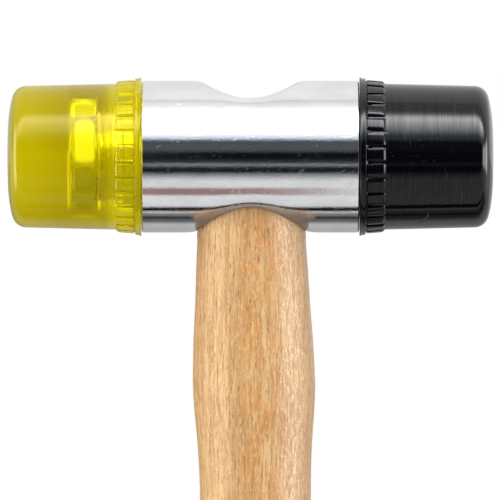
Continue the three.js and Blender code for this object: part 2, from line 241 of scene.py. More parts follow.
def piece(made, body, nodes, material):
    """Gives a finished mesh its material, its CAD body and the nodes it stands for."""
    made.data.materials.clear()
    made.data.materials.append(material)
    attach(made, body)
    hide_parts(*nodes)


def arc(centre, radius, start, end, steps):
    """Points of an arc, from start to end degrees, as (first, second) pairs."""
    angles = np.radians(np.linspace(start, end, steps + 1))
    return [(centre[0] + radius * math.cos(a), centre[1] + radius * math.sin(a)) for a in angles]


def full_turn(segments):
    return np.linspace(0, 2 * math.pi, segments + 1)


def smooth_step(low, high, value):
    t = np.clip((value - low) / (high - low), 0, 1)
    return t * t * (3 - 2 * t)


def head_point(side, out, radius, angle):
    """A point on the head at side -1 or 1, so far out of the tube's end. Angle 0 is straight up."""
    y = -side * radius * math.sin(angle)
    return (side * (TUBE_HALF + out), y, HEAD_Z + radius * math.cos(angle))


def slot_columns():
    """Angles round a face, close together at its slots' walls, and how far up a tooth each is."""
    pitch = 2 * math.pi / TOOTH_COUNT
    half_slot = pitch * SLOT_SHARE / 2
    offsets = [(-at, up) for at, up in reversed(SLOT_WALL[1:])] + SLOT_WALL
    columns = []
    for tooth in range(TOOTH_COUNT):
        columns += [(tooth * pitch + at * half_slot, up) for at, up in offsets]
        columns.append(((tooth + 0.5) * pitch, 1))
    columns.append((columns[0][0] + 2 * math.pi, columns[0][1]))
    return columns


def face_nose():
    """Outline stations from the tooth ring over the corner to the middle of the striking end."""
    corner = (FACE_END - FACE_CROWN - FACE_CORNER_R, FACE_NOSE_R - FACE_CORNER_R)
    first_out, first_r = FACE_REAR[-1][:2]
    stations = []
    for share in BODY_SHARES:
        out = first_out + share * (corner[0] - first_out)
        stations.append((out, first_r + share * (FACE_NOSE_R - first_r)))
    stations += arc(corner, FACE_CORNER_R, 90, CROWN_TILT, FACE_CORNER_STEPS)
    edge_out, edge_r = stations[-1]
    depth = FACE_END - edge_out
    power = math.tan(math.radians(CROWN_TILT)) * edge_r / depth
    for share in CROWN_SHARES:
        stations.append((FACE_END - depth * share**power, edge_r * share))
    return [(out, radius, radius) for out, radius in stations]


def thread_radius(out, angle, low, high, crest_half):
    """Radius of a right-hand thread: a trapezoid between low and high."""
    phase = (out / THREAD_PITCH - angle / (2 * math.pi)) % 1
    away = min(phase, 1 - phase) * THREAD_PITCH
    return high - (high - low) * min(1, max(0, (away - crest_half) / THREAD_FLANK))


def face_hollow(angles):
    """Rows of radii of a face's hollow, from its seat to the end of the chamber."""
    low = THREAD_MINOR_R + THREAD_GAP
    high = THREAD_MAJOR_R + THREAD_GAP
    grid = [(out, [radius] * len(angles)) for out, radius in HOLLOW_REAR]
    for out in np.arange(LEAD_IN_END + THREAD_STEP, STUD_END - THREAD_STEP / 2, THREAD_STEP):
        fade = smooth_step(*NUT_RUN_OUT, out)
        threads = [thread_radius(out, a, low, high, NUT_CREST_HALF) for a in angles]
        grid.append((out, [low + fade * (radius - low) for radius in threads]))
    grid.append((STUD_END, [low] * len(angles)))
    near = (CHAMBER_START + CHAMBER_NEAR_CORNER, CHAMBER_R - CHAMBER_NEAR_CORNER)
    far = (CHAMBER_END - CHAMBER_CORNER, CHAMBER_R - CHAMBER_CORNER)
    smooth = arc(near, CHAMBER_NEAR_CORNER, 180, 90, CHAMBER_NEAR_STEPS)
    smooth += arc(far, CHAMBER_CORNER, 90, 0, CHAMBER_CORNER_STEPS)
    smooth += [(CHAMBER_END, radius) for radius in CHAMBER_END_RADII]
    return grid + [(out, [radius] * len(angles)) for out, radius in smooth]


def striking_face(name, side):
    columns = slot_columns()
    turn = -side * math.radians(TOOTH_TURN)
    angles = [turn + angle for angle, _ in columns]
    grid = []
    for out, tooth_r, slot_r in reversed(FACE_REAR + face_nose()):
        radii = [slot_r + up * (tooth_r - slot_r) for _, up in columns]
        grid.append([head_point(side, out, r, a) for r, a in zip(radii, angles)])
    for out, radii in face_hollow(angles):
        grid.append([head_point(side, out, r, a) for r, a in zip(radii, angles)])
    return weld(name, [grid])


def threaded_plug(name, side):
    """The plug in the tube's end with its stud, threaded at the end."""
    angles = full_turn(STUD_SEGMENTS)
    low, high = THREAD_MINOR_R, THREAD_MAJOR_R
    rows = [(out, [radius] * len(angles)) for out, radius in PLUG_OUTLINE]
    for out in np.arange(*STUD_THREAD_SPAN, THREAD_STEP):
        fade = smooth_step(*STUD_RUN_IN, out)
        fade *= smooth_step(*STUD_RUN_OUT, out)
        threads = [thread_radius(out, a, low, high, STUD_CREST_HALF) for a in angles]
        rows.append((out, [low + fade * (radius - low) for radius in threads]))
    rows += [(out, [radius] * len(angles)) for out, radius in STUD_TIP]
    grid = [[head_point(side, out, r, a) for r, a in zip(radii, angles)] for out, radii in rows]
    return weld(name, [grid])


def eye_radius(height):
    """Radius of the eye at a height above the head's axis: it narrows upwards."""
    share = (height + TUBE_R) / (2 * TUBE_R)
    return EYE_BOTTOM_R + share * (EYE_TOP_R - EYE_BOTTOM_R)


def centre_offset(z):
    """How far along X the centre of the eye and the handle stands at a height above the butt."""
    return float(np.interp(z, *zip(*HANDLE_BOW)))


def rim_sink(gap):
    """How far the tube's wall lies below its cylinder at a distance from the eye's edge."""
    rounding = RIM_ROUND - math.sqrt(max(0.0, RIM_ROUND**2 - max(0.0, RIM_ROUND - gap) ** 2))
    return rounding + RIM_DISH * math.exp(-((gap / RIM_DISH_REACH) ** RIM_DISH_POWER))


def eye_patch(radius, up, rim_r, outside):
    """The wall from the eye's edge out to a rectangle: the tube's length by EYE_SPREAD each way."""
    spread = math.radians(EYE_SPREAD)
    half = TUBE_HALF - TUBE_CHAMFER
    along = np.linspace(-1, 1, EYE_LONG_STEPS + 1)
    across = np.linspace(-1, 1, EYE_CROSS_STEPS + 1)
    border = [(half * t, -spread) for t in along[:-1]] + [(half, spread * t) for t in across[:-1]]
    border += [(-half * t, spread) for t in along[:-1]] + [(-half, -spread * t) for t in across]
    lean = centre_offset(HEAD_Z + up * radius)
    shares = RIM_SHARES + WALL_SHARES if outside else BORE_SHARES
    grid = []
    for share in shares:
        row = []
        for x, angle in border:
            heading = math.atan2(TUBE_R * angle, x)
            rim = (lean + rim_r * math.cos(heading), math.asin(rim_r * math.sin(heading) / radius))
            px = rim[0] + share * (x - rim[0])
            pa = rim[1] + share * (angle - rim[1])
            gap = max(0.0, math.hypot(px - lean, radius * math.sin(pa)) - rim_r)
            deep = radius - rim_sink(gap) if outside else radius
            row.append((px, deep * math.sin(pa), HEAD_Z + up * deep * math.cos(pa)))
        grid.append(row)
    return grid


def tube_side(radius, front):
    """The wall between the two eye patches, on the front (-1) or the back (1)."""
    half = TUBE_HALF - TUBE_CHAMFER
    places = np.linspace(-half, half, EYE_LONG_STEPS + 1)
    grid = []
    for angle in np.radians(np.linspace(EYE_SPREAD, 180 - EYE_SPREAD, SIDE_STEPS + 1)):
        y = front * radius * math.sin(angle)
        grid.append([(x, y, HEAD_Z + radius * math.cos(angle)) for x in places])
    return grid


def tube_end_angles():
    """A full turn of angles round the tube's end that match the points of its patches and sides."""
    patch = list(np.linspace(-EYE_SPREAD, EYE_SPREAD, EYE_CROSS_STEPS + 1))
    side = list(np.linspace(EYE_SPREAD, 180 - EYE_SPREAD, SIDE_STEPS + 1))
    half_turn = patch + side[1:]
    return np.radians(half_turn + [angle + 180 for angle in half_turn[1:]])


def tube_end(side):
    """The end of the tube's wall, with its outer edge broken."""
    bore = TUBE_R - TUBE_WALL
    shoulder = TUBE_HALF - TUBE_CHAMFER
    outer = [(shoulder, TUBE_R), (TUBE_HALF, TUBE_R - TUBE_CHAMFER)]
    grid = []
    for x, r in outer + [(TUBE_HALF, bore), (shoulder, bore)]:
        row = [(side * x, r * math.sin(a), HEAD_Z + r * math.cos(a)) for a in tube_end_angles()]
        grid.append(row)
    return grid


def head_tube():
    bore = TUBE_R - TUBE_WALL
    grids = []
    for up, height in ((1, TUBE_R), (-1, -TUBE_R)):
        outer = eye_patch(TUBE_R, up, eye_radius(height), True)
        inner = eye_patch(bore, up, eye_radius(up * bore), False)
        grids += [outer, inner, [outer[0], inner[0]]]
    for front in (-1, 1):
        grids += [tube_side(TUBE_R, front), tube_side(bore, front)]
    for side in (-1, 1):
        grids.append(tube_end(side))
    return weld("head_tube_shell", grids)


def sleeve_ring(angles, extra, share):
    """A ring of the eye's lining, at a share of the way up and so much wider than the eye."""
    bore = TUBE_R - TUBE_WALL - FIT_GAP
    points = []
    for a in angles:
        reach = eye_radius(0) + extra
        end = math.sqrt(bore**2 - (reach * math.sin(a)) ** 2)
        z = -end + 2 * end * share
        r = eye_radius(z) + extra
        points.append((centre_offset(HEAD_Z + z) + r * math.cos(a), r * math.sin(a), HEAD_Z + z))
    return points


def eye_sleeve():
    """The eye's lining inside the tube, its ends following the tube's bore."""
    angles = full_turn(SLEEVE_SEGMENTS)
    shares = np.linspace(0, 1, SLEEVE_RINGS)
    grid = [sleeve_ring(angles, SLEEVE_INSET, share) for share in shares]
    grid += [sleeve_ring(angles, SLEEVE_WALL, share) for share in shares[::-1]]
    grid.append(grid[0])
    return weld("eye_lining", [grid])


def handle_side():
    """Points of [height, radius] up the handle, on a smooth curve through its stations."""
    heights = np.array([height for height, _ in HANDLE_STATIONS], float)
    radii = np.array([radius for _, radius in HANDLE_STATIONS], float)
    slopes = np.gradient(radii, heights)
    grip = np.linspace(heights[0], GRIP_TOP, GRIP_SAMPLES)
    neck = np.linspace(GRIP_TOP, heights[-1], NECK_SAMPLES)
    side = []
    for z in np.unique(np.concatenate([grip, neck])):
        i = min(np.searchsorted(heights, z, side="right") - 1, len(heights) - 2)
        step = heights[i + 1] - heights[i]
        t = (z - heights[i]) / step
        rise = radii[i] * (2 * t**3 - 3 * t**2 + 1) + radii[i + 1] * (3 * t**2 - 2 * t**3)
        rise += step * (slopes[i] * (t**3 - 2 * t**2 + t) + slopes[i + 1] * (t**3 - t**2))
        side.append((z, rise))
    return side


def handle_outline():
    """Points of [height, radius] from the middle of the butt to the middle of the tenon's top."""
    side = handle_side()
    first_z, first_r = side[0]
    outline = [(0, radius) for radius in BUTT_FLAT_RADII]
    for t in np.linspace(0, 1, BUTT_SAMPLES)[:-1]:
        bend = 2 * t * (1 - t) * (first_r - BUTT_CORNER_INSET)
        outline.append((t**2 * first_z, (1 - t) ** 2 * BUTT_FLAT_R + bend + t**2 * first_r))
    outline += side
    for height in np.linspace(-TUBE_R - TENON_OVERLAP, TENON_TOP - TENON_EDGE, TENON_SAMPLES):
        outline.append((HEAD_Z + height, eye_radius(height) - TENON_INSET))
    top_r = outline[-1][1]
    outline.append((HEAD_Z + TENON_TOP - TENON_EDGE / 4, top_r - TENON_EDGE / 4))
    outline += [(HEAD_Z + TENON_TOP, top_r - inset) for inset in TENON_TOP_INSETS]
    return outline + [(HEAD_Z + TENON_TOP, radius) for radius in TENON_TOP_RADII]


def handle():
    angles = full_turn(HANDLE_SEGMENTS)
    grid = []
    for z, radius in handle_outline():
        bow = centre_offset(z)
        grid.append([(bow + radius * math.cos(a), radius * math.sin(a), z) for a in angles])
    made = weld("handle_turned", [grid])
    for wedge in ("handle_wedge", "cross_wedge"):
        cut = made.modifiers.new(wedge, "BOOLEAN")
        cut.operation = "DIFFERENCE"
        cut.solver = "EXACT"
        cut.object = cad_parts[wedge]
    evaluated = made.evaluated_get(bpy.context.evaluated_depsgraph_get())
    shaped = bpy.data.meshes.new_from_object(evaluated)
    made.modifiers.clear()
    made.data = shaped
    return made


def shot_charge(name, side_name):
    """The steel balls of one chamber, each a little out of round from tumbling."""
    rng = random.Random(len(name))
    bm = bmesh.new()
    nodes = sorted(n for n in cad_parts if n.startswith(side_name + "_shot"))
    for node in nodes:
        low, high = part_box(node)
        ball = bmesh.ops.create_icosphere(bm, subdivisions=SHOT_SUBDIVISIONS, radius=SHOT_R * MM)
        dent = Vector((rng.uniform(-1, 1), rng.uniform(-1, 1), rng.uniform(-1, 1))).normalized()
        for vert in ball["verts"]:
            facing = max(0, vert.co.normalized().dot(dent))
            vert.co *= 1 - SHOT_FLAT * facing**SHOT_FLAT_POWER
            vert.co += (low + high) / 2
    return mesh_object(name, bm), nodes


# ---------------------------------------------------------------- materials


class Shader:
    """A material's or the world's node tree, built a node at a time."""

    def __init__(self, name, owner=None):
        self.owner = owner or bpy.data.materials.new(name)
        self.owner.use_nodes = True
        self.tree = self.owner.node_tree
        self.tree.nodes.clear()

    def add(self, kind, inputs=None, **settings):
        node = self.tree.nodes.new(kind)
        for key, value in settings.items():
            setattr(node, key, value)
        for key, value in (inputs or {}).items():
            socket = node.inputs[key]
            if isinstance(value, bpy.types.NodeSocket):
                self.tree.links.new(value, socket)
            else:
                socket.default_value = value
        return node

    def surface(self, shader):
        """Ends the tree with a shader, and gives back the material or the world."""
        kind = "World" if isinstance(self.owner, bpy.types.World) else "Material"
        self.add("ShaderNodeOutput" + kind, {"Surface": shader})
        return self.owner

    # Numbers

    def math(self, operation, a, b=0.0, c=0.0):
        return self.add("ShaderNodeMath", {0: a, 1: b, 2: c}, operation=operation).outputs[0]

    def product(self, first, *others):
        for other in others:
            first = self.math("MULTIPLY", first, other)
        return first

    def scaled(self, value, gain, base):
        """The base, and on top of it the value times a gain."""
        return self.math("MULTIPLY_ADD", value, gain, base)

    def inverse(self, value):
        return self.math("SUBTRACT", 1.0, value)

    def hypotenuse(self, a, b):
        squares = [self.math("POWER", side, 2.0) for side in (a, b)]
        return self.math("SQRT", self.math("ADD", *squares))

    def ramp(self, value, low, high):
        """0 below low, 1 above high, smooth between."""
        inputs = {"Value": value, "From Min": low, "From Max": high}
        return self.add("ShaderNodeMapRange", inputs, interpolation_type="SMOOTHSTEP").outputs[0]

    def fall(self, value, low, high):
        """1 below low, 0 above high, smooth between."""
        return self.inverse(self.ramp(value, low, high))

    def window(self, value, low, high, soft):
        """1 between low and high, fading to 0 over soft on both sides."""
        return self.product(self.ramp(value, low - soft, low), self.fall(value, high, high + soft))

    # Places and directions

    def coordinates(self, kind):
        return self.add("ShaderNodeTexCoord").outputs[kind]

    def split(self, vector):
        """The X, Y and Z of a vector."""
        return list(self.add("ShaderNodeSeparateXYZ", {0: vector}).outputs)

    def place(self):
        """The piece's own coordinates, in millimetres."""
        inputs = {"Vector": self.coordinates("Object"), "Scale": (1 / MM,) * 3}
        return self.add("ShaderNodeMapping", inputs).outputs[0]

    def wrapped(self):
        """Round the head's axis, in millimetres: [along X, round the skin, out from the axis]."""
        along, across, height = self.split(self.place())
        up = self.math("SUBTRACT", height, HEAD_Z)
        around = self.product(self.math("ARCTAN2", across, up), TUBE_R)
        out = self.hypotenuse(across, up)
        return self.add("ShaderNodeCombineXYZ", {0: along, 1: around, 2: out}).outputs[0]

    def facing(self):
        """0 where the surface faces the viewer, 1 at its edge."""
        return self.add("ShaderNodeLayerWeight", {"Blend": 0.5}).outputs["Facing"]

    def ray_is(self, kind):
        return self.add("ShaderNodeLightPath").outputs["Is " + kind + " Ray"]

    # Textures, colours and shaders

    def noise(self, scale, detail=3, rough=0.5, warp=0, where=None, offset=(0, 0, 0)):
        """Noise with so many cells a millimetre along each axis."""
        if where is None:
            where = self.place()
        moved = {"Vector": where, "Location": offset, "Scale": scale}
        inputs = {
            "Vector": self.add("ShaderNodeMapping", moved).outputs[0],
            "Scale": 1.0,
            "Detail": detail,
            "Roughness": rough,
            "Distortion": warp,
        }
        return self.add("ShaderNodeTexNoise", inputs).outputs[0]

    def spots(self, low, high, scale, **noise):
        """1 where a noise is above high, 0 where it is below low."""
        return self.ramp(self.noise(scale, **noise), low, high)

    def mix(self, factor, a, b):
        return self.add("ShaderNodeMix", {0: factor, 6: a, 7: b}, data_type="RGBA").outputs[2]

    def tint(self, colour, mask, amount, towards):
        """The colour, moved by an amount towards another one where the mask is 1."""
        return self.mix(self.product(mask, amount), colour, towards)

    def bump(self, height, distance, strength=1.0, normal=None):
        inputs = {"Height": height, "Distance": distance * MM, "Strength": strength}
        if normal is not None:
            inputs["Normal"] = normal
        return self.add("ShaderNodeBump", inputs).outputs[0]

    def principled(self, inputs):
        return self.add("ShaderNodeBsdfPrincipled", inputs).outputs[0]

    def transparent(self):
        return self.add("ShaderNodeBsdfTransparent").outputs[0]

    def mix_shader(self, factor, a, b):
        return self.add("ShaderNodeMixShader", {0: factor, 1: a, 2: b}).outputs[0]


def rgb(r, g, b):
    """Linear colour from 8-bit display values."""
    linear = [((c / 255 + 0.055) / 1.055) ** 2.4 if c > 10 else c / 255 / 12.92 for c in (r, g, b)]
    return (*linear, 1.0)


WHITE = (1, 1, 1, 1)
BLACK = (0, 0, 0, 1)

CHROME_DULL = (0.82, 0.835, 0.852, 1)
CHROME_BRIGHT = (0.885, 0.893, 0.905, 1)
CHROME_PIT = (0.25, 0.26, 0.28, 1)
CHROME_HAIRLINES = [(28, 11), (62, 23), (118, 5), (152, 41)]  # [degrees, offset in the noise]

STEEL_STAIN = 0.6  # share of the steel's own brightness

BLACK_BASE = (0.001, 0.001, 0.0022, 1)
BLACK_DUST = (0.3, 0.28, 0.25, 1)
BLACK_MARK = (0.5, 0.5, 0.55, 1)
BLACK_IOR = 1.46
# A scratch on the black face, in the skin's own coordinates: centre, radius, ends in degrees
SCRATCH_CENTRE = (36.3, -44.6)
SCRATCH_RADIUS = 6.3
SCRATCH_FROM = -92
SCRATCH_TO = -12
SCRATCH_FADE = 14
SCRATCH_WANDER = 1.6

YELLOW_TINT = (0.96, 0.88, 0.01, 1)
YELLOW_MILK = rgb(149, 130, 0)
# Painted glow: the brighter milky tone towards the solid end of the face
YELLOW_MILK_PAINTED_GLOW_AT_END = rgb(170, 155, 0)
YELLOW_MILK_AT_RING = rgb(190, 175, 0)
YELLOW_CLOUD = rgb(143, 125, 0)
YELLOW_GLOW = rgb(240, 226, 0)
YELLOW_GLINT = (0.42, 0.36, 0.2, 1)
YELLOW_IOR = 1.47
# How milky it is: the skin over the hollow, what the solid end and the ring add to that, the least
# at the outline and over the thread, and the chamber's wall
MILK_SKIN = 0.22
MILK_SOLID_END = 0.6
MILK_RING = 0.2
MILK_OUTLINE = 0.8
MILK_THREAD_OUTLINE = 0.78
MILK_THREAD = 0.55
MILK_CHAMBER = 0.5
# Clear round patches in the chamber's milky wall, as [centre out, centre above the axis, half
# length, half height]
CHAMBER_PATCHES = [
    (13.6, 2.85, 3.5, 4.45),
    (13.6, -6.15, 3.5, 3.75),
    (13.8, 8.7, 3.4, 1.3),
]
PATCH_POWER = 2.2  # of the outline: 2 would be an ellipse
PATCH_EDGE = (0.7, 1.3)
PATCH_BACK = 1.5  # the patches are on the wall in front of this

WOOD_BAND_DARK = rgb(188, 147, 95)
WOOD_BAND_PALE = rgb(215, 178, 125)
WOOD_DRIFT = rgb(193, 145, 92)
WOOD_MIDDLE = rgb(204, 156, 90)
WOOD_FIGURE = rgb(205, 142, 68)
WOOD_FIBRE = rgb(165, 111, 60)
WOOD_SPECK = rgb(232, 196, 146)
WOOD_FLECK = rgb(152, 100, 54)
WOOD_PORE = rgb(120, 78, 44)
# Painted shade: the colour the wood is darkened towards just under the head
WOOD_PAINTED_SHADE_UNDER_HEAD = rgb(100, 66, 36)
# Painted shade: the darker colour the wood near the head takes on where polished parts mirror it
WOOD_PAINTED_SHADE_IN_REFLECTIONS = rgb(94, 76, 60)
WOOD_IOR = 1.5
WOOD_MIDDLE_X = 2.4
WEDGE_WOOD = (rgb(150, 108, 66), rgb(190, 148, 100))
WASHER_FIBRE = (rgb(226, 222, 208), rgb(208, 202, 184))


def chrome_material():
    s = Shader("chrome_plating")
    skin = s.wrapped()
    grain = s.noise((1.9, 2.4, 1), detail=3, rough=0.65, where=skin)
    ripple = s.noise((0.22, 0.5, 1), detail=2, where=skin)
    wave = s.noise((0.04, 0.08, 1), detail=1, rough=0.4, where=skin)
    clouds = {"detail": 4, "rough": 0.62, "where": skin, "offset": (2, 6, 1)}
    cloud = s.spots(low=0.4, high=0.62, scale=(0.1, 0.18, 1), **clouds)
    points = {"detail": 2, "where": skin, "offset": (5, 9, 2)}
    pits = s.spots(low=0.725, high=0.77, scale=(2.4, 2.4, 1), **points)
    marks = s.spots(low=0.71, high=0.77, scale=(0.16, 7, 1), detail=2, warp=0.4, where=skin)
    for degrees, offset in CHROME_HAIRLINES:
        turn = {0: skin, 3: math.radians(degrees)}
        slanted = s.add("ShaderNodeVectorRotate", turn, rotation_type="Z_AXIS").outputs[0]
        hairs = {"detail": 1, "rough": 0.4, "warp": 0.15, "offset": (offset, 3, 7)}
        hair = s.spots(low=0.752, high=0.795, scale=(0.36, 6.5, 1), where=slanted, **hairs)
        marks = s.math("MAXIMUM", marks, hair)

    tone = s.mix(cloud, CHROME_DULL, CHROME_BRIGHT)
    tone = s.tint(tone, pits, amount=0.6, towards=CHROME_PIT)
    rough = s.scaled(marks, gain=0.22, base=0.024)
    rough = s.scaled(pits, gain=0.2, base=rough)
    normal = s.bump(wave, distance=0.03, strength=0.5)
    normal = s.bump(ripple, distance=0.014, strength=0.7, normal=normal)
    normal = s.bump(grain, distance=0.013, normal=normal)
    dents = s.inverse(s.math("MAXIMUM", marks, pits))
    normal = s.bump(dents, distance=0.006, strength=0.7, normal=normal)
    inputs = {"Base Color": tone, "Metallic": 1.0, "Roughness": rough, "Normal": normal}
    return s.surface(s.principled(inputs))


def steel_material(name, tone, rough):
    s = Shader(name)
    grain = s.noise((0.6, 6, 6), detail=4, rough=0.6)
    stain = s.spots(low=0.45, high=0.75, scale=(0.25, 0.25, 0.25), rough=0.6)
    stained = tuple(c * STEEL_STAIN for c in tone[:3]) + (1.0,)
    inputs = {
        "Base Color": s.mix(stain, tone, stained),
        "Metallic": 1.0,
        "Roughness": s.scaled(grain, gain=0.2, base=rough),
        "Normal": s.bump(grain, distance=0.01, strength=0.4),
    }
    return s.surface(s.principled(inputs))


def curved_scratch(s, skin):
    """1 along one scratch that curves down the front of the black face, 0 elsewhere."""
    along, around, _ = s.split(skin)
    along = s.math("SUBTRACT", along, SCRATCH_CENTRE[0])
    around = s.math("SUBTRACT", around, SCRATCH_CENTRE[1])
    wobble = s.noise((0.5, 0.5, 1), detail=2, where=skin)
    radius = s.scaled(wobble, gain=SCRATCH_WANDER, base=SCRATCH_RADIUS - SCRATCH_WANDER / 2)
    gap = s.math("ABSOLUTE", s.math("SUBTRACT", s.hypotenuse(along, around), radius))
    turn = s.math("DEGREES", s.math("ARCTAN2", around, along))
    line = s.fall(gap, low=0.08, high=0.22)
    return s.product(line, s.window(turn, SCRATCH_FROM, SCRATCH_TO, SCRATCH_FADE))


def black_plastic_material():
    s = Shader("black_plastic")
    skin = s.wrapped()
    turning = s.noise((3.2, 0.07, 1), rough=0.75, where=skin)
    cloud = s.noise((0.3, 0.3, 1), rough=0.6, where=skin)
    scratch = s.spots(low=0.72, high=0.745, scale=(3.2, 0.16, 1), detail=1, warp=0.6, where=skin)
    scuff = s.spots(low=0.74, high=0.765, scale=(0.35, 4.5, 1), detail=1, warp=0.8, where=skin)
    marks = s.math("MAXIMUM", scratch, scuff)
    dust = s.spots(low=0.775, high=0.8, scale=(2.6, 2.6, 1), detail=1, rough=0.4, where=skin)

    colour = s.tint(BLACK_BASE, dust, amount=0.2, towards=BLACK_DUST)
    colour = s.tint(colour, marks, amount=0.02, towards=BLACK_MARK)
    rough = s.scaled(cloud, gain=0.06, base=0.06)
    rough = s.scaled(marks, gain=0.15, base=rough)
    normal = s.bump(turning, distance=0.012, strength=0.9)
    normal = s.bump(s.inverse(marks), distance=0.006, strength=0.6, normal=normal)
    normal = s.bump(s.inverse(curved_scratch(s, skin)), distance=0.16, normal=normal)
    glint = s.scaled(s.ramp(turning, low=0.36, high=0.64), gain=0.16, base=0.3)
    glint = s.scaled(s.ramp(s.facing(), low=0.22, high=0.42), gain=0.3, base=glint)
    inputs = {
        "Base Color": colour,
        "Roughness": rough,
        "IOR": BLACK_IOR,
        "Specular IOR Level": glint,
        "Normal": normal,
    }
    return s.surface(s.principled(inputs))


def patch_distance(s, value, centre, half):
    """0 at the centre of a chamber patch, 1 at its edge, along one of its two directions."""
    share = s.math("DIVIDE", s.math("SUBTRACT", value, centre), half)
    return s.math("POWER", s.math("ABSOLUTE", share), PATCH_POWER)


def milky_wall(s, out):
    """1 on the front of the chamber's wall, 0 in its three clear round patches."""
    _, depth, height = s.split(s.place())
    up = s.math("SUBTRACT", height, HEAD_Z)
    clear = 0.0
    for centre_out, centre_up, half_out, half_up in CHAMBER_PATCHES:
        along = patch_distance(s, out, centre_out, half_out)
        rise = patch_distance(s, up, centre_up, half_up)
        clear = s.math("MAXIMUM", clear, s.fall(s.math("ADD", along, rise), *PATCH_EDGE))
    front = s.math("LESS_THAN", depth, PATCH_BACK)
    return s.product(front, s.inverse(clear))


def yellow_milk(s, out, inside, ring):
    """How milky the yellow plastic is, from clear at 0 to cloudy at 1."""
    solid_end = s.ramp(out, CHAMBER_END - 0.2, CHAMBER_END + 0.7)
    milk = s.scaled(solid_end, gain=MILK_SOLID_END, base=MILK_SKIN)
    milk = s.scaled(ring, gain=MILK_RING, base=milk)
    # It looks milkier towards its outline, and sooner below than above
    facing = s.facing()
    normal = s.split(s.add("ShaderNodeNewGeometry").outputs["Normal"])
    under = s.math("LESS_THAN", normal[2], 0.0)
    outline = s.product(s.ramp(facing, low=0.37, high=0.46), MILK_OUTLINE)
    outline_below = s.product(s.ramp(facing, low=0.25, high=0.34), under, MILK_OUTLINE)
    over_thread = s.product(s.ramp(out, low=6.3, high=6.8), s.fall(out, low=9.4, high=10.4))
    steep = s.ramp(facing, low=0.12, high=0.2)
    thread_outline = s.product(steep, MILK_THREAD_OUTLINE, over_thread)
    thread = s.product(over_thread, MILK_THREAD)
    for other in (outline, outline_below, thread_outline, thread):
        milk = s.math("MAXIMUM", milk, other)
    chamber = s.product(s.ramp(out, STUD_END - 0.3, CHAMBER_START), milky_wall(s, out))
    return s.mix(inside, milk, s.product(chamber, MILK_CHAMBER))


def yellow_plastic_material():
    """Clear yellow plastic with a milky skin, and a milky wall with clear patches in its hollow."""
    s = Shader("yellow_plastic")
    skin = s.wrapped()
    turning = s.noise((6, 0.05, 1), detail=2, rough=0.6, where=skin)
    cloud = s.noise((0.12, 0.2, 1), where=skin)
    along, _, from_axis = s.split(skin)
    out = s.math("SUBTRACT", s.math("ABSOLUTE", along), TUBE_HALF)
    near_axis = s.math("LESS_THAN", from_axis, WASHER_RECESS_R + 0.3)
    inside = s.product(near_axis, s.math("LESS_THAN", out, CHAMBER_END + 0.5))
    ring = s.fall(out, low=6.4, high=9.4)

    gloss = {
        "Roughness": s.scaled(cloud, gain=0.06, base=0.06),
        "IOR": YELLOW_IOR,
        "Specular Tint": YELLOW_GLINT,
        "Normal": s.bump(turning, distance=0.003, strength=0.5),
    }
    tint = s.mix(inside, YELLOW_TINT, WHITE)
    clear = s.principled({"Base Color": tint, "Transmission Weight": 1.0, **gloss})
    # Painted glow: the milky tone grows brighter towards the solid end
    tone = s.mix(s.ramp(out, low=16, high=29), YELLOW_MILK, YELLOW_MILK_PAINTED_GLOW_AT_END)
    tone = s.mix(ring, tone, YELLOW_MILK_AT_RING)
    tone = s.tint(tone, cloud, amount=0.3, towards=YELLOW_CLOUD)
    milky = s.principled({"Base Color": tone, **gloss})
    glow = s.add("ShaderNodeBsdfTranslucent", {"Color": YELLOW_GLOW}).outputs[0]
    from_within = s.add("ShaderNodeNewGeometry").outputs["Backfacing"]
    cloudy = s.mix_shader(from_within, milky, glow)
    return s.surface(s.mix_shader(yellow_milk(s, out, inside, ring), clear, cloudy))


def wood_colour(s, x, up, fibre, speck):
    """The colour of the handle's wood, with painted shade just under the head and where polished
    parts mirror the wood near the head.
    """
    drift = s.spots(low=0.42, high=0.66, scale=(0.06, 0.06, 0.012))
    band = s.spots(low=0.34, high=0.66, scale=(0.42, 0.42, 0.01), detail=4, rough=0.6, warp=0.7)
    fleck = s.spots(low=0.54, high=0.68, scale=(1.9, 1.9, 0.4), rough=0.6, offset=(17, 3, 5))
    pore = s.spots(low=0.62, high=0.72, scale=(2.3, 2.3, 0.42), detail=2, offset=(31, 7, 3))
    flame = {"detail": 5, "rough": 0.66, "warp": 0.5, "offset": (4, 2, 9)}
    figure = s.spots(low=0.45, high=0.6, scale=(0.3, 0.3, 0.16), **flame)
    fibres = s.ramp(fibre, low=0.44, high=0.66)
    specks = s.ramp(speck, low=0.5, high=0.7)
    from_middle = s.math("ABSOLUTE", s.math("SUBTRACT", x, WOOD_MIDDLE_X))
    middle = s.fall(from_middle, low=1.5, high=7)
    # Painted shade: the wood is darkened just under the head, where the head shades it
    painted_shade_under_head = s.ramp(up, low=-17.5, high=-11.5)
    # Painted shade in reflections: the wood near the head is darkened for mirrored rays only
    mirrored = s.product(s.ray_is("Glossy"), s.ramp(up, low=-70, high=-28))

    colour = s.mix(band, WOOD_BAND_DARK, WOOD_BAND_PALE)
    colour = s.tint(colour, drift, amount=0.5, towards=WOOD_DRIFT)
    colour = s.tint(colour, middle, amount=0.2, towards=WOOD_MIDDLE)
    colour = s.tint(colour, s.product(figure, middle), amount=0.72, towards=WOOD_FIGURE)
    colour = s.tint(colour, fibres, amount=0.8, towards=WOOD_FIBRE)
    colour = s.tint(colour, specks, amount=0.5, towards=WOOD_SPECK)
    colour = s.tint(colour, fleck, amount=0.55, towards=WOOD_FLECK)
    colour = s.tint(colour, pore, amount=0.7, towards=WOOD_PORE)
    colour = s.tint(colour, painted_shade_under_head, amount=0.48, towards=WOOD_PAINTED_SHADE_UNDER_HEAD)
    return s.tint(colour, mirrored, amount=0.8, towards=WOOD_PAINTED_SHADE_IN_REFLECTIONS)


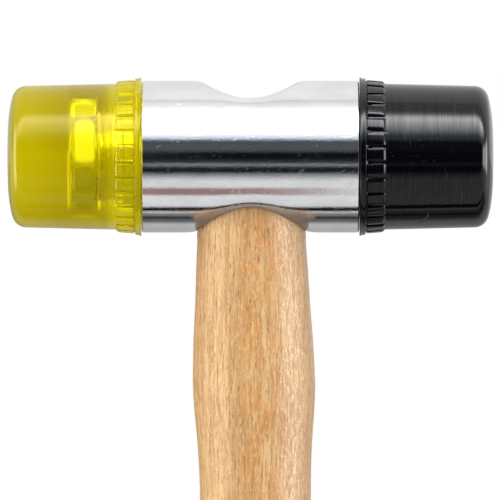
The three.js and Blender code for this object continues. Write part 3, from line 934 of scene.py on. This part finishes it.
def wood_material():
    """Varnished wood, with painted shade just under the head, and less glossy on its left side."""
    s = Shader("handle_wood")
    x, _, height = s.split(s.place())
    up = s.math("SUBTRACT", height, HEAD_Z)
    fibre = s.noise((1.9, 1.9, 0.08), detail=4, rough=0.68, warp=0.5)
    speck = s.noise((2.0, 2.0, 0.7), detail=4, rough=0.7)
    brushed = {"rough": 0.65, "warp": 0.4, "offset": (9, 14, 2)}
    varnish = s.spots(low=0.47, high=0.6, scale=(1.8, 1.8, 0.5), **brushed)
    varnish = s.scaled(varnish, gain=0.8, base=0.15)
    polish = s.scaled(s.ramp(x, low=-9, high=-3), gain=0.6, base=0.4)
    normal = s.bump(fibre, distance=0.06, strength=0.6)
    normal = s.bump(speck, distance=0.1, normal=normal)
    inputs = {
        "Base Color": wood_colour(s, x, up, fibre, speck),
        "Roughness": s.scaled(fibre, gain=0.15, base=0.42),
        "IOR": WOOD_IOR,
        "Specular IOR Level": s.product(polish, 0.5),
        "Normal": normal,
        "Coat Weight": s.product(varnish, polish),
        "Coat Roughness": 0.12,
        "Coat Normal": normal,
    }
    return s.surface(s.principled(inputs))


def raw_wood_material():
    s = Shader("wedge_wood")
    fibre = s.noise((2, 2, 0.15), detail=4, rough=0.6)
    normal = s.bump(fibre, distance=0.05, strength=0.5)
    inputs = {"Base Color": s.mix(fibre, *WEDGE_WOOD), "Roughness": 0.75, "Normal": normal}
    return s.surface(s.principled(inputs))


def washer_material():
    s = Shader("washer_fibre")
    cloud = s.noise((0.8, 0.8, 0.8))
    normal = s.bump(cloud, distance=0.02, strength=0.3)
    inputs = {"Base Color": s.mix(cloud, *WASHER_FIBRE), "Roughness": 0.5, "Normal": normal}
    return s.surface(s.principled(inputs))


# ---------------------------------------------------------------- the pieces


def shot_steel_material(label):
    return steel_material(label + "_shot_steel", tone=(0.6, 0.6, 0.62, 1), rough=0.2)


def build_pieces():
    stud = steel_material("stud_steel", tone=(0.74, 0.75, 0.76, 1), rough=0.16)
    plain = steel_material("plain_steel", tone=(0.55, 0.56, 0.58, 1), rough=0.25)
    wedge = steel_material("wedge_steel", tone=(0.4, 0.4, 0.41, 1), rough=0.4)
    yellow = yellow_plastic_material()
    black = black_plastic_material()
    washer = washer_material()

    piece(head_tube(), "head", ["head_tube"], chrome_material())
    piece(eye_sleeve(), "head", ["eye_sleeve"], plain)
    piece(handle(), "head", ["handle"], wood_material())
    for side, label in ((-1, "left"), (1, "right")):
        plug = threaded_plug(label + "_plug_and_stud", side)
        piece(plug, "head", [label + "_threaded_plug"], stud)
        balls, nodes = shot_charge(label + "_shot", label)
        piece(balls, label + "_shot_charge", nodes, shot_steel_material(label))
    yellow_face = striking_face("yellow_striking_face", -1)
    piece(yellow_face, "yellow_face", ["yellow_face"], yellow)
    black_face = striking_face("black_striking_face", 1)
    piece(black_face, "black_face", ["black_face"], black)

    carried = {
        "handle_wedge": raw_wood_material(),
        "cross_wedge": wedge,
        "left_face_washer": washer,
        "right_face_washer": washer,
    }
    for node, material in carried.items():
        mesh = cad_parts[node].data
        mesh.materials.clear()
        mesh.materials.append(material)


# ---------------------------------------------------------------- studio, in metres

# What polished parts mirror, as [degrees above the camera's own direction, brightness], set
# from the brightness of rows of the tube and black face in the photograph. It is taken for a
# sweep and table behind and below, a dark camera side in front, and a soft box and ceiling above.
BANDS_BELOW = [
    (-180, 0.46), (-152, 0.445), (-138, 0.48), (-129, 0.52), (-124, 0.42), (-120, 0.24),
    (-117, 0.13), (-111, 0.12), (-109, 0.03), (-105.2, 0.02), (-103.5, 0.17),
    (-96.6, 0.24), (-95.4, 0.62), (-92.9, 0.72), (-92.1, 0.005), (-84.2, 0.005),
    (-83.4, 0.66), (-78, 0.72), (-68, 0.78),
]
BANDS_FRONT = [
    (-68, 0.78), (-60, 0.76), (-37.5, 0.72), (-33, 0.5), (-29, 0.27), (-26.3, 0.22),
    (-25.1, 0.03), (-22, 0.012), (-18, 0.015), (-17, 0.03), (-14.6, 0.12),
    (-12.8, 0.33), (-10.6, 0.06), (-6, 0.018), (3, 0.04), (7, 0.06), (12, 0.09),
    (23, 0.085), (23.9, 0.13), (26, 0.55), (28.8, 0.95), (32, 1.0),
]
BANDS_ABOVE = [
    (32, 1.0), (36, 2.0), (40, 3.6), (47, 6.6), (54, 9.8), (60, 12.8), (64.5, 12),
    (68, 8.5), (71, 4), (74.5, 1.7), (78.5, 1.1), (83, 0.98), (87, 0.87), (91.5, 0.84),
    (93.5, 0.66), (95, 0.68), (96.5, 0.92), (115, 0.92), (149, 0.85), (180, 0.8),
]

# What is seen through clear plastic, set in the same way from the yellow face: the same room, but
# plainer, and its soft box weaker
BANDS_THROUGH = [
    (-180, 1.5), (-179.1, 1.5), (-176.9, 0.2), (-150, 0.24), (-120, 0.34), (-90, 0.34),
    (-60, 0.42), (-40, 0.6), (-28, 0.25), (26, 0.25), (38, 3), (50, 6), (66, 6),
    (80, 1.8), (100, 0.82), (146, 0.82), (153, 1.5), (180, 1.5),
]

# The camera side is a little blue, between so many degrees up
COLD_LIGHT = (0.92, 0.98, 1.1, 1)
COLD_BAND = (-26, 46)
COLD_FADE = 6

# Light boxes at both sides and a dark patch behind the yellow face's corner, only mirrored. They
# lie between so many degrees round from straight at the camera, and fade out up and down by the
# height of the direction they're seen in, from 0 at the level to 1 straight up or down.
RIGHT_BOX = (59, 99)
RIGHT_BOX_LIGHT = 6.6
RIGHT_BOX_HEIGHT = (0.13, 0.28)
LEFT_BOX = (-98, -79)
LEFT_BOX_LIGHT = 9.5
LEFT_BOX_HEIGHT = (0.3, 0.6)
BOX_FADE = 5
DARK_PATCH = (-172, -116)
DARK_PATCH_FADE = 8
DARK_PATCH_SHADE = 0.4

# Towards both ends of X the bands give way to even walls
ROOM_WALL_X = (0.72, 0.93)
MIRRORED_WALL = (1.0, 1.0, 1.02, 1)
WALL_BEHIND_PLASTIC = (1.2, 1.2, 1.2, 1)

# The light on matt surfaces, by the height of its direction
LIGHT_FROM_BELOW = (0.66, 0.65, 0.64, 1)
LIGHT_FROM_ABOVE = (1.28, 1.29, 1.31, 1)
LIGHT_HEIGHTS = (-0.8, 0.9)

FLOOR_R = 2.2
FLOOR_SEGMENTS = 96
FLOOR_FADE = (0.5, 2.1)
FLOOR_TONES = ((0.8, 0.8, 0.8, 1), (0.84, 0.84, 0.84, 1))

STRIP_DISTANCE = 0.5
STRIP_LEFT_EDGE = 0.002
STRIP_RIGHT_EDGE = 0.02
STRIP_LEFT_MARGIN = 0.02
STRIP_RIGHT_MARGIN = 0.03

CAMERA_DISTANCE = 2.0
CAMERA_VIEW_WIDTH = 0.120
CAMERA_SENSOR = 36.0  # millimetres
CAMERA_CLIP_END = 50
CAMERA_AIM = (-0.1, -22.4)  # millimetres along X and up from the middle of the head


def band_ramp(s, angle, bands):
    """Brightness at an angle, in degrees, along a run of bands."""
    low, high = bands[0][0], bands[-1][0]
    peak = max(level for _, level in bands)
    inputs = {"Value": angle, "From Min": low, "From Max": high}
    share = s.add("ShaderNodeMapRange", inputs).outputs[0]
    node = s.add("ShaderNodeValToRGB", {0: share})
    stops = node.color_ramp.elements
    while len(stops) < len(bands):
        stops.new(0.5)
    for stop, (at, level) in zip(stops, bands):
        stop.position = (at - low) / (high - low)
        stop.color = (level / peak,) * 3 + (1,)
    return s.product(node.outputs[0], peak)


def mirrored_room(s, sideways, rise, around, height):
    """What polished parts mirror: the bands, and the walls, boxes and dark patch at the sides."""
    bands = band_ramp(s, rise, BANDS_BELOW)
    for run in (BANDS_FRONT, BANDS_ABOVE):
        above = s.math("GREATER_THAN", rise, run[0][0])
        bands = s.mix(above, bands, band_ramp(s, rise, run))
    cold = s.mix(s.window(rise, *COLD_BAND, COLD_FADE), WHITE, COLD_LIGHT)
    bands = s.add("ShaderNodeVectorMath", {0: bands, 1: cold}, operation="MULTIPLY").outputs[0]

    low_box = s.fall(height, *RIGHT_BOX_HEIGHT)
    tall_box = s.fall(height, *LEFT_BOX_HEIGHT)
    right = s.product(s.window(around, *RIGHT_BOX, BOX_FADE), RIGHT_BOX_LIGHT, low_box)
    left = s.product(s.window(around, *LEFT_BOX, BOX_FADE), LEFT_BOX_LIGHT, tall_box)
    dark = s.product(s.window(around, *DARK_PATCH, DARK_PATCH_FADE), tall_box)
    room = s.mix(sideways, bands, MIRRORED_WALL)
    room = s.tint(room, dark, amount=DARK_PATCH_SHADE, towards=BLACK)
    boxes = s.math("ADD", left, right)
    return s.add("ShaderNodeVectorMath", {0: room, 1: boxes}, operation="ADD").outputs[0]


def studio_world():
    """A white room. Mirrored rays, rays through clear plastic and rays that light matt surfaces
    each see their own."""
    world = bpy.data.worlds.new("studio")
    bpy.context.scene.world = world
    s = Shader("studio", world)
    x, y, z = s.split(s.coordinates("Generated"))
    ahead = s.product(y, -1.0)
    rise = s.math("DEGREES", s.math("ARCTAN2", z, ahead))
    around = s.math("DEGREES", s.math("ARCTAN2", x, ahead))
    sideways = s.ramp(s.math("ABSOLUTE", x), *ROOM_WALL_X)

    mirrored = mirrored_room(s, sideways, rise, around, s.math("ABSOLUTE", z))
    through = s.mix(sideways, band_ramp(s, rise, BANDS_THROUGH), WALL_BEHIND_PLASTIC)
    soft = s.mix(s.ramp(z, *LIGHT_HEIGHTS), LIGHT_FROM_BELOW, LIGHT_FROM_ABOVE)
    seen = s.mix(s.ray_is("Glossy"), soft, mirrored)
    seen = s.mix(s.ray_is("Transmission"), seen, through)
    seen = s.mix(s.ray_is("Camera"), seen, WHITE)
    s.surface(s.add("ShaderNodeBackground", {"Color": seen, "Strength": 1.0}).outputs[0])


def floor():
    """A pale floor that fades into the white behind it."""
    bm = bmesh.new()
    bmesh.ops.create_circle(bm, cap_ends=True, segments=FLOOR_SEGMENTS, radius=FLOOR_R)
    made = mesh_object("floor", bm)
    s = Shader("pale_floor")
    where = {0: s.coordinates("Object")}
    away = s.add("ShaderNodeVectorMath", where, operation="LENGTH").outputs["Value"]
    colour = s.mix(s.noise((0.004, 0.004, 0.004)), *FLOOR_TONES)
    matte = s.add("ShaderNodeBsdfDiffuse", {"Color": colour}).outputs[0]
    faded = s.mix_shader(s.ramp(away, *FLOOR_FADE), matte, s.transparent())
    made.data.materials.append(s.surface(faded))
    made.visible_glossy = False
    made.visible_transmission = False


def strip(name, rise, spread, left, right, colour):
    """A narrow strip in front of the head that only polished parts mirror, fading out to both
    sides. It spreads so many degrees up and down from its rise."""
    low, high = (math.radians(rise + turn) for turn in (-spread, spread))
    bm = bmesh.new()
    edges = []
    for angle in (low, high):
        y = -STRIP_DISTANCE * math.cos(angle)
        z = HEAD_Z * MM + STRIP_DISTANCE * math.sin(angle)
        ends = (left - STRIP_LEFT_MARGIN, right + STRIP_RIGHT_MARGIN)
        edges.append([bm.verts.new((x, y, z)) for x in ends])
    bm.faces.new((edges[0][0], edges[0][1], edges[1][1], edges[1][0]))
    made = mesh_object(name, bm)
    s = Shader(name)
    along = s.split(s.coordinates("Object"))[0]
    shown = s.ramp(along, left - STRIP_LEFT_EDGE, left + STRIP_LEFT_EDGE)
    until = s.fall(along, right - STRIP_RIGHT_EDGE, right + STRIP_RIGHT_EDGE)
    glow = s.add("ShaderNodeEmission", {"Color": colour, "Strength": 1.0}).outputs[0]
    lit = s.mix_shader(s.product(shown, until), s.transparent(), glow)
    made.data.materials.append(s.surface(lit))
    for ray in ("camera", "diffuse", "transmission", "volume_scatter", "shadow"):
        setattr(made, "visible_" + ray, False)


def camera():
    """A long lens looking level at the head, with most of the handle below the frame."""
    data = bpy.data.cameras.new("camera")
    data.sensor_width = CAMERA_SENSOR
    data.lens = CAMERA_SENSOR * CAMERA_DISTANCE / CAMERA_VIEW_WIDTH
    data.clip_end = CAMERA_CLIP_END
    made = bpy.data.objects.new("camera", data)
    along, up = CAMERA_AIM
    made.location = (along * MM, -CAMERA_DISTANCE, (HEAD_Z + up) * MM)
    made.rotation_euler = (math.pi / 2, 0, 0)
    bpy.context.scene.collection.objects.link(made)
    bpy.context.scene.camera = made


def lamp(name, place, size, power, target):
    data = bpy.data.lights.new(name, "AREA")
    data.shape = "RECTANGLE"
    data.size, data.size_y = size
    data.energy = power
    made = bpy.data.objects.new(name, data)
    made.location = place
    towards = Vector(target) - Vector(place)
    made.rotation_euler = towards.to_track_quat("-Z", "Y").to_euler()
    made.visible_glossy = False
    bpy.context.scene.collection.objects.link(made)


build_pieces()
studio_world()
floor()
red = (0.33, 0.21, 0.205, 1)
strip("red_strip", rise=-54.4, spread=6.0, left=-0.2, right=0.02, colour=red)
dark = (0.005, 0.006, 0.009, 1)
strip("dark_strip", rise=0.9, spread=5.0, left=-0.031, right=0.085, colour=dark)
camera()
lamp("key", place=(-0.5, -0.9, 1.1), size=(0.8, 0.6), power=6, target=(0, 0, 0.25))
bpy.context.scene.view_settings.view_transform = "Standard"
